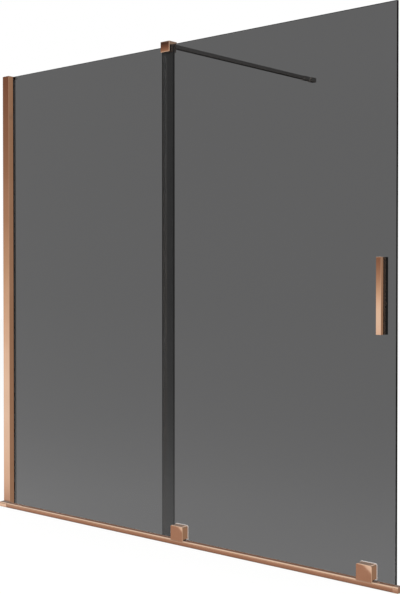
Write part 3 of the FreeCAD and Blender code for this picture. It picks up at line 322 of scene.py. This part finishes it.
finishes = [
    (roseUp, ["glass_profile", "profile_top_cap"]),
    (roseAcross, ["bottom_rail"]),
    (roseCap, ["rail_end_cap_left", "rail_end_cap_right"]),
    (roseHandle, ["handle_outer"]),
    (roseBracket, ["bracket_body"]),
    (roseCover["left"], ["carriage_cover_left"]),
    (roseCover["right"], ["carriage_cover_right"]),
    (rosePlated, ["profile_screw_caps"]),
    # the back plates' pale finish is a painted rim highlight
    (palePlatedAndRimHighlight, ["arm_end_fitting", "arm_wall_block", "carriage_backplate_left",
                  "carriage_backplate_right"]),
    (greyPlated, ["handle_inner"]),
    (paleArm, ["stabiliser_arm"]),
    (smoke, ["fixed_glass", "sliding_glass"]),
    (rubber, ["front_glazing_gasket", "rear_glazing_gasket", "bracket_glass_pads", "handle_gaskets",
              "carriage_gaskets"]),
    (vinyl, ["fixed_glass_sill", "overlap_seal", "bottom_drip_seal"]),
    (nylon, ["glass_setting_blocks", "bracket_guide_liner", "handle_bushes", "carriage_bushes",
             "carriage_chassis_left", "carriage_chassis_right"] + [f"{wheel}_wheel" for wheel in wheels]),
    (dyedNylon, ["rail_stop_left", "rail_stop_right"]),
    # dark steel here is painted shade in the groove
    (shadeDarkened, ["rail_stop_screws"]),
    (zinc, ["profile_lock_screws", "bracket_clamp_screws", "bracket_pressure_plate", "arm_pivot_pin",
            "arm_wall_plate", "arm_grub_screws", "handle_studs", "carriage_bolts", "wheel_axles",
            "axle_spacers"]),
    (bright, ["bearing_inner_rings", "bearing_balls"] + [f"{wheel}_bearing_outer_ring" for wheel in wheels]),
    (mill, ["wall_channel"]),
    (foam, ["rail_bonding_tape"]),
]
for material, names in finishes:
    for name in names:
        nodes[name].material_slots[0].material = material

# The glass and the metal mirror the open room, and not these pieces beside them.
unmirrored = ["glass_profile", "wall_channel", "bottom_rail", "rail_bonding_tape", "carriage_gaskets",
              "wheel_axles", "axle_spacers", "bearing_inner_rings", "bearing_balls"]
for side in sides:
    unmirrored += [f"rail_end_cap_{side}", f"rail_stop_{side}", f"carriage_cover_{side}",
                   f"carriage_backplate_{side}", f"carriage_chassis_{side}"]
unmirrored += [f"{wheel}_bearing_outer_ring" for wheel in wheels]
for name in unmirrored:
    nodes[name].visible_glossy = False
print("finishes set on", sum(len(names) for material, names in finishes), "pieces")

sameSpot = 1e-6                   # corners closer than this are merged
squareOn = 0.9                    # a face looks along an axis when its normal has this share of it
smoothAngle = math.radians(35)    # edges that bend less are shaded smooth


def selectOnly(*pieces):
    bpy.ops.object.select_all(action="DESELECT")
    for piece in pieces:
        piece.select_set(True)
    bpy.context.view_layer.objects.active = pieces[0]


# the primitive just added, with its place in its mesh, open for editing
def openPiece(name):
    piece = bpy.context.object
    piece.name = piece.data.name = name
    bpy.ops.object.transform_apply(location=True, rotation=True, scale=True)
    bpy.ops.object.mode_set(mode="EDIT")
    return piece


# a copy of a CAD node's mesh, merged and with its stored normals dropped, open for editing
def openCopy(node, name):
    piece = bpy.data.objects.new(name, nodes[node].data.copy())
    bpy.context.collection.objects.link(piece)
    selectOnly(piece)
    bpy.ops.mesh.customdata_custom_splitnormals_clear()
    bpy.ops.object.mode_set(mode="EDIT")
    bpy.ops.mesh.select_all(action="SELECT")
    bpy.ops.mesh.remove_doubles(threshold=sameSpot)
    return piece


def closePiece():
    bpy.ops.object.mode_set(mode="OBJECT")


# select the faces, edges or corners whose middle passes a test; faces are tested on their normal too
def pick(kind, test):
    bpy.ops.mesh.select_mode(type=kind)
    bpy.ops.mesh.select_all(action="DESELECT")
    mesh = bmesh.from_edit_mesh(bpy.context.object.data)
    if kind == "FACE":
        for face in mesh.faces:
            face.select_set(test(face.calc_center_median(), face.normal))
    elif kind == "EDGE":
        for edge in mesh.edges:
            edge.select_set(test((edge.verts[0].co + edge.verts[1].co) / 2))
    else:
        for corner in mesh.verts:
            corner.select_set(test(corner.co))
    mesh.select_flush_mode()
    bmesh.update_edit_mesh(bpy.context.object.data)


# cut a tool's shape out of a piece
def carve(piece, tool):
    selectOnly(piece)
    cut = piece.modifiers.new("cut", "BOOLEAN")
    cut.operation = "DIFFERENCE"
    cut.solver = "EXACT"
    cut.object = tool
    bpy.ops.object.modifier_apply(modifier="cut")
    bpy.data.objects.remove(tool)


# copies of a piece at their places, each with its own mesh, joined to one fitting
def setOut(piece, name, places, turn):
    copies = []
    for place in places:
        selectOnly(piece)
        bpy.ops.object.duplicate(linked=False)
        copy = bpy.context.object
        copy.location = place
        copy.rotation_euler = turn
        bpy.ops.object.transform_apply(location=True, rotation=True, scale=True)
        copies.append(copy)
    bpy.data.objects.remove(piece)
    selectOnly(*copies)
    bpy.ops.object.join()
    whole = bpy.context.object
    whole.name = whole.data.name = name
    return whole


def fit(piece, body, slot, material, *standsFor):
    piece.data.materials.clear()
    piece.data.materials.append(material)
    selectOnly(piece)
    bpy.ops.object.shade_smooth_by_angle(angle=smoothAngle)
    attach(piece, body)
    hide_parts(*standsFor)


# middle of each screw head's top in a CAD node, whose heads look along this axis
def headPlaces(node, axis):
    openCopy(node, "screws")
    bpy.ops.mesh.separate(type="LOOSE")
    closePiece()
    places = []
    for screw in list(bpy.context.selected_objects):
        low, high = boxOf(screw)
        place = (low + high) / 2
        setattr(place, axis, getattr(high, axis))
        places.append(place)
        bpy.data.objects.remove(screw)
    return sorted(places, key=sum)


# one screw standing head up with its top at the origin: rim eased, shank drawn out below
def turnScrew(look):
    bpy.ops.object.select_all(action="DESELECT")
    bpy.ops.mesh.primitive_cylinder_add(vertices=48, radius=look["head"], depth=look["thick"],
                                        location=(0, 0, -look["thick"] / 2))
    screw = openPiece("screw")
    pick("FACE", lambda middle, normal: normal.z > squareOn)
    bpy.ops.mesh.bevel(offset=look["ease"], segments=look["easeSteps"], affect="EDGES")
    if "shank" in look:
        pick("FACE", lambda middle, normal: normal.z < -squareOn)
        bpy.ops.mesh.inset(thickness=look["head"] - look["shank"])
        bpy.ops.mesh.extrude_region_move(TRANSFORM_OT_translate={"value": (0, 0, -look["reach"])})
        bpy.ops.mesh.bevel(offset=look["tip"], segments=1, affect="EDGES")
    closePiece()
    return screw


# hexagon socket in the head of a standing screw
def cutHexagon(screw, across, depth):
    bpy.ops.object.select_all(action="DESELECT")
    bpy.ops.mesh.primitive_cylinder_add(vertices=6, radius=across / math.sqrt(3), depth=depth * 2)
    carve(screw, bpy.context.object)


# cross recess in the head of a standing screw
def cutCross(screw, length, width, depth):
    for size in ((length, width, depth * 2), (width, length, depth * 2)):
        bpy.ops.object.select_all(action="DESELECT")
        bpy.ops.mesh.primitive_cube_add(size=1, scale=size)
        carve(screw, bpy.context.object)


towardsBath = (-math.pi / 2, 0, 0)  # turns a standing screw's head to +y

# Carriage bolts: flat heads on the pane's inner face, with a 5 mm key.
carriageBolt = {"head": 0.007, "thick": 0.0018, "ease": 0.0006, "easeSteps": 3, "shank": 0.003,
                "reach": 0.0217, "tip": 0.0006, "key": 0.005, "keyDepth": 0.0013}
bolt = turnScrew(carriageBolt)
cutHexagon(bolt, carriageBolt["key"], carriageBolt["keyDepth"])
bolts = setOut(bolt, "carriageBolts", headPlaces("carriage_bolts", "y"), towardsBath)
fit(bolts, "sliding_screen", "steel", zinc, "carriage_bolts")

# Caps over the wall post's lock screws: shallow domes.
screwCap = {"head": 0.0046, "thick": 0.003, "ease": 0.0022, "easeSteps": 7}
cap = turnScrew(screwCap)
caps = setOut(cap, "postScrewCaps", headPlaces("profile_screw_caps", "y"), towardsBath)
fit(caps, "fixed_screen", "rose_steel", rosePlated, "profile_screw_caps")

# Set screws that press the bracket's plate on the fixed pane, with a 2.5 mm key.
clampScrew = {"head": 0.0025, "thick": 0.0027, "ease": 0.0003, "easeSteps": 2, "key": 0.0025,
              "keyDepth": 0.0015}
screw = turnScrew(clampScrew)
cutHexagon(screw, clampScrew["key"], clampScrew["keyDepth"])
screws = setOut(screw, "bracketSetScrews", headPlaces("bracket_clamp_screws", "y"), towardsBath)
fit(screws, "fixed_screen", "steel", zinc, "bracket_clamp_screws")

# Screws that hold the travel stops down in the rail's groove, with a cross recess.
stopScrew = {"head": 0.0028, "thick": 0.0016, "ease": 0.0006, "easeSteps": 4, "shank": 0.0014,
             "reach": 0.0042, "tip": 0.00028, "slot": 0.0034, "slotWidth": 0.0008, "slotDepth": 0.001,
             "turn": (0, 0, 0.4)}
screw = turnScrew(stopScrew)
cutCross(screw, stopScrew["slot"], stopScrew["slotWidth"], stopScrew["slotDepth"])
screws = setOut(screw, "railStopScrews", headPlaces("rail_stop_screws", "z"), stopScrew["turn"])
screws.visible_glossy = False
# the stop screws' near black is painted shade in the groove
fit(screws, "fixed_screen", "steel", shadeDarkened, "rail_stop_screws")
print("screws fitted")

# Wheels: tyres pressed on the bearings, with a crowned tread and dished faces.
tyre = {"bore": 0.00552, "radius": 0.009, "width": 0.007, "crown": 0.0014, "crownSteps": 5, "dish": 0.0008,
        "steps": 64}


def turnTyre(name, centre):
    wall = tyre["radius"] - tyre["bore"]
    nearFace = tyre["width"] * 0.499
    bpy.ops.object.select_all(action="DESELECT")
    bpy.ops.mesh.primitive_plane_add(size=1, location=(tyre["bore"] + wall / 2, 0, 0))
    bpy.context.object.scale = (wall, tyre["width"], 1)
    wheel = openPiece(name)  # half of the section, from the bore out to the tread
    pick("VERT", lambda place: place.x > tyre["bore"] + wall / 2)
    bpy.ops.mesh.bevel(offset=tyre["crown"], segments=tyre["crownSteps"], affect="VERTICES")
    bpy.ops.mesh.select_all(action="SELECT")
    bpy.ops.mesh.delete(type="ONLY_FACE")
    pick("EDGE", lambda middle: abs(middle.y) > nearFace)
    bpy.ops.mesh.subdivide(number_cuts=2)
    for side in (-1, 1):  # the inner of the two new corners sinks in
        pick("VERT", lambda place: place.y * side > nearFace and 0.1 < (place.x - tyre["bore"]) / wall < 0.5)
        bpy.ops.transform.translate(value=(0, -side * tyre["dish"], 0))
    bpy.ops.mesh.select_all(action="SELECT")
    bpy.ops.mesh.spin(steps=tyre["steps"], angle=2 * math.pi, center=(0, 0, 0), axis=(0, 1, 0))
    bpy.ops.mesh.select_all(action="SELECT")
    bpy.ops.mesh.remove_doubles(threshold=sameSpot)
    bpy.ops.mesh.normals_make_consistent(inside=False)
    closePiece()
    wheel.location = centre
    selectOnly(wheel)
    bpy.ops.object.transform_apply(location=True, rotation=True, scale=True)
    return wheel


for place in wheels:
    low, high = boxOf(nodes[f"{place}_bearing_outer_ring"])
    wheel = turnTyre(f"{place}_tyre", (low + high) / 2)
    wheel.visible_glossy = False
    fit(wheel, f"{place}_wheel", "nylon", nylon, f"{place}_wheel")
print("wheels fitted")


# Panes: clear smoke from face to face, with the ground edges as a finish of their own.
def edgePane(node, name, body):
    pane = openCopy(node, name)
    closePiece()
    fit(pane, body, "smoked_glass", smoke, node)
    pane.data.materials.append(groundGlass)
    bpy.ops.object.mode_set(mode="EDIT")
    pick("FACE", lambda middle, normal: abs(normal.y) < squareOn)
    pane.active_material_index = 1
    bpy.ops.object.material_slot_assign()
    closePiece()
    pane.visible_glossy = False


edgePane("fixed_glass", "fixedPane", "fixed_screen")
edgePane("sliding_glass", "slidingPane", "sliding_screen")
print("panes fitted")

# Extruded strips: their edges come out of the die a little round, and they lie a hair clear of the glass.
strips = {"ease": 0.00025, "easeSteps": 2, "hair": 0.00012, "flat": math.radians(1)}


def easeStrip(node, name, body, slot, material):
    strip = openCopy(node, name)
    bpy.ops.mesh.dissolve_limited(angle_limit=strips["flat"])
    bpy.ops.mesh.select_all(action="SELECT")
    bpy.ops.mesh.bevel(offset=strips["ease"], segments=strips["easeSteps"], affect="EDGES")
    closePiece()
    trim = strip.modifiers.new("trim", "DISPLACE")
    trim.mid_level = 0
    trim.strength = -strips["hair"]
    bpy.ops.object.modifier_apply(modifier="trim")
    fit(strip, body, slot, material, node)
    strip.visible_glossy = False


easeStrip("fixed_glass_sill", "paneSill", "fixed_screen", "clear_vinyl", vinyl)
easeStrip("overlap_seal", "overlapSeal", "sliding_screen", "clear_vinyl", vinyl)
easeStrip("bottom_drip_seal", "dripSeal", "sliding_screen", "clear_vinyl", vinyl)
easeStrip("front_glazing_gasket", "roomSideGasket", "fixed_screen", "black_rubber", rubber)
easeStrip("rear_glazing_gasket", "bathSideGasket", "fixed_screen", "black_rubber", rubber)
print("strips fitted")

# Studio: pale floor, white surround, one large soft light above.
studio = {"floor": 30.0, "floorPlace": (0.8, 0, -0.0005), "floorColour": "#f4f4f2", "shadow": 0.15,
          "glow": 1.04, "surround": 0.55, "boxPlace": (0.9, -0.6, 3.4), "boxSize": 4.5, "boxPower": 130}
white = (1, 1, 1, 1)

bpy.ops.object.select_all(action="DESELECT")
bpy.ops.mesh.primitive_plane_add(size=studio["floor"], location=studio["floorPlace"])
floor = bpy.context.object
floor.name = "floor"
floor.visible_glossy = False
paint, tree = newMaterial("Pale floor")
rays = addNode(tree, "ShaderNodeLightPath").outputs
shade = addNode(tree, "ShaderNodeBsdfDiffuse", {"Color": linearColour(studio["floorColour"])})
glow = addNode(tree, "ShaderNodeEmission", {"Color": white, "Strength": studio["glow"]})
plain = addNode(tree, "ShaderNodeEmission", {"Color": white, "Strength": 1.0})
share = addNode(tree, "ShaderNodeMath", {0: rays["Is Camera Ray"], 1: 1 - studio["shadow"]},
                operation="MULTIPLY")
shaded = addNode(tree, "ShaderNodeMixShader", {0: share.outputs[0], 1: shade.outputs[0], 2: glow.outputs[0]})
blend = addNode(tree, "ShaderNodeMixShader", {0: rays["Is Transmission Ray"], 1: shaded.outputs[0],
                                              2: plain.outputs[0]})
addNode(tree, "ShaderNodeOutputMaterial", {"Surface": blend.outputs[0]})
floor.data.materials.append(paint)

# Room that the metal and the panes mirror. Each part fades in along an axis of the way that a ray looks.
parts = {
    "height": ("Z", -0.4, 0.4), "overhead": ("Z", 0.33, 0.45), "behind": ("Y", -0.08, 0.08),
    "right": ("X", -0.15, 0.15), "window": ("X", 0.2, 0.55), "sweep": ("X", -0.775, -0.52),
    "panelFoot": ("Z", 0.08, 0.13), "panelSide": ("X", 0.74, 0.7),
}

# Metal: the room in front is bright low down, with a shaded strip on the floor, and dim and warm higher up.
metalFront = [
    (-23, (1.0, 1.0, 1.0)), (-19, (0.46, 0.33, 0.28)), (-11.7, (0.46, 0.33, 0.28)),
    (-10.6, (0.95, 0.88, 0.85)), (-7, (1.0, 1.0, 1.0)), (-4.6, (1.0, 0.98, 0.96)),
    (-2.4, (0.9, 0.81, 0.75)), (0, (0.715, 0.606, 0.506)), (3.2, (0.5, 0.378, 0.304)),
    (6.4, (0.357, 0.245, 0.196)), (10.5, (0.23, 0.139, 0.108)), (18, (0.08, 0.055, 0.05)),
]
metalBack = [(-3, (0.03, 0.028, 0.027)), (3, (0.27, 0.255, 0.25))]
metalRight = {"wall": (0.37, 0.295, 0.245, 1), "panel": (0.28, 0.28, 0.285, 1)}

# Panes: a bright floor that fades upwards, brighter towards the wall than towards the room.
paneWall = [(-11.5, 1.42), (-9.5, 1.12), (-7.4, 0.86), (-5.3, 0.72), (-1, 0.57), (5, 0.53), (12, 0.55)]
paneRoom = [(-14.7, 1.0), (-12.7, 0.75), (-11.1, 0.52), (-9.5, 0.32), (-7.4, 0.17), (-5.3, 0.1), (-1, 0.02),
            (8, 0.02), (12, 0.1)]
paneRight = (0.02, 0.02, 0.02, 1)


# place on the height ramp, from degrees above the horizon
def rampPlace(degrees):
    low, high = parts["height"][1:]
    return (math.sin(math.radians(degrees)) - low) / (high - low)


def skyStops(stops):
    return [(rampPlace(degrees), (*colour, 1)) for degrees, colour in stops]


def greyStops(stops):
    return skyStops([(degrees, (grey, grey, grey)) for degrees, grey in stops])


world = bpy.data.worlds.new("Studio surround")
bpy.context.scene.world = world
world.use_nodes = True
world.cycles.sampling_method = "NONE"
tree = world.node_tree
tree.nodes.clear()
way = addNode(tree, "ShaderNodeTexCoord").outputs["Generated"]
axes = addNode(tree, "ShaderNodeSeparateXYZ", {0: way}).outputs
part = {}
for name, (axis, start, end) in parts.items():
    part[name] = addNode(tree, "ShaderNodeMapRange", {"Value": axes[axis], "From Min": start,
                                                      "From Max": end}).outputs[0]

front = addNode(tree, "ShaderNodeValToRGB", {"Fac": part["height"]}, skyStops(metalFront))
frontHalf = addNode(tree, "ShaderNodeMix", {0: part["window"], 6: front.outputs[0], 7: white},
                    data_type="RGBA")
back = addNode(tree, "ShaderNodeValToRGB", {"Fac": part["height"]}, skyStops(metalBack))
panel = addNode(tree, "ShaderNodeMath", {0: part["panelFoot"], 1: part["panelSide"]}, operation="MULTIPLY")
rightWall = addNode(tree, "ShaderNodeMix", {0: panel.outputs[0], 6: metalRight["wall"],
                                            7: metalRight["panel"]}, data_type="RGBA")
backHalf = addNode(tree, "ShaderNodeMix", {0: part["right"], 6: back.outputs[0], 7: rightWall.outputs[2]},
                   data_type="RGBA")
roomRound = addNode(tree, "ShaderNodeMix", {0: part["behind"], 6: frontHalf.outputs[2],
                                            7: backHalf.outputs[2]}, data_type="RGBA")

# the ceiling is white, except behind on the right
corner = addNode(tree, "ShaderNodeMath", {0: part["behind"], 1: part["right"]}, operation="MULTIPLY")
elsewhere = addNode(tree, "ShaderNodeMath", {0: 1.0, 1: corner.outputs[0]}, operation="SUBTRACT")
ceiling = addNode(tree, "ShaderNodeMath", {0: part["overhead"], 1: elsewhere.outputs[0]},
                  operation="MULTIPLY")
metalView = addNode(tree, "ShaderNodeMix", {0: ceiling.outputs[0], 6: roomRound.outputs[2], 7: white},
                    data_type="RGBA")

wallSide = addNode(tree, "ShaderNodeValToRGB", {"Fac": part["height"]}, greyStops(paneWall))
roomSide = addNode(tree, "ShaderNodeValToRGB", {"Fac": part["height"]}, greyStops(paneRoom))
paneFront = addNode(tree, "ShaderNodeMix", {0: part["sweep"], 6: wallSide.outputs[0], 7: roomSide.outputs[0]},
                    data_type="RGBA")
paneBack = addNode(tree, "ShaderNodeMix", {0: part["right"], 6: white, 7: paneRight}, data_type="RGBA")
paneView = addNode(tree, "ShaderNodeMix", {0: part["behind"], 6: paneFront.outputs[2],
                                           7: paneBack.outputs[2]}, data_type="RGBA")

# the camera sees white, also through the glass; polished panes and satin metal mirror their own rooms
rays = addNode(tree, "ShaderNodeLightPath").outputs
mirrored = addNode(tree, "ShaderNodeMix", {0: rays["Is Singular Ray"], 6: metalView.outputs[2],
                                           7: paneView.outputs[2]}, data_type="RGBA")
surround = [studio["surround"]] * 3 + [1]
shine = addNode(tree, "ShaderNodeMix", {0: rays["Is Glossy Ray"], 6: surround, 7: mirrored.outputs[2]},
                data_type="RGBA")
seen = addNode(tree, "ShaderNodeMath", {0: rays["Is Camera Ray"], 1: rays["Is Transmission Ray"]},
               operation="MAXIMUM")
sky = addNode(tree, "ShaderNodeMix", {0: seen.outputs[0], 6: shine.outputs[2], 7: white}, data_type="RGBA")
background = addNode(tree, "ShaderNodeBackground", {"Color": sky.outputs[2], "Strength": 1.0})
addNode(tree, "ShaderNodeOutputWorld", {"Surface": background.outputs[0]})

bpy.ops.object.light_add(type="AREA", location=studio["boxPlace"])
box = bpy.context.object
box.name = "soft box"
box.data.size = studio["boxSize"]
box.data.energy = studio["boxPower"]
box.visible_glossy = False
print("studio ready")

# Camera at the photograph's place, level to within a degree.
view = {"place": (2.99908, -2.39647, 0.79056), "turn": 41.29, "down": 0.903, "lens": 65.012, "sensor": 36}
turn, down = math.radians(view["turn"]), math.radians(view["down"])
ahead = Vector((-math.sin(turn) * math.cos(down), math.cos(turn) * math.cos(down), -math.sin(down)))
bpy.ops.object.camera_add(location=view["place"], rotation=ahead.to_track_quat("-Z", "Y").to_euler())
camera = bpy.context.object
camera.data.sensor_width = view["sensor"]
camera.data.lens = view["lens"]
bpy.context.scene.camera = camera
bpy.context.scene.view_settings.view_transform = "Standard"
print("camera set")
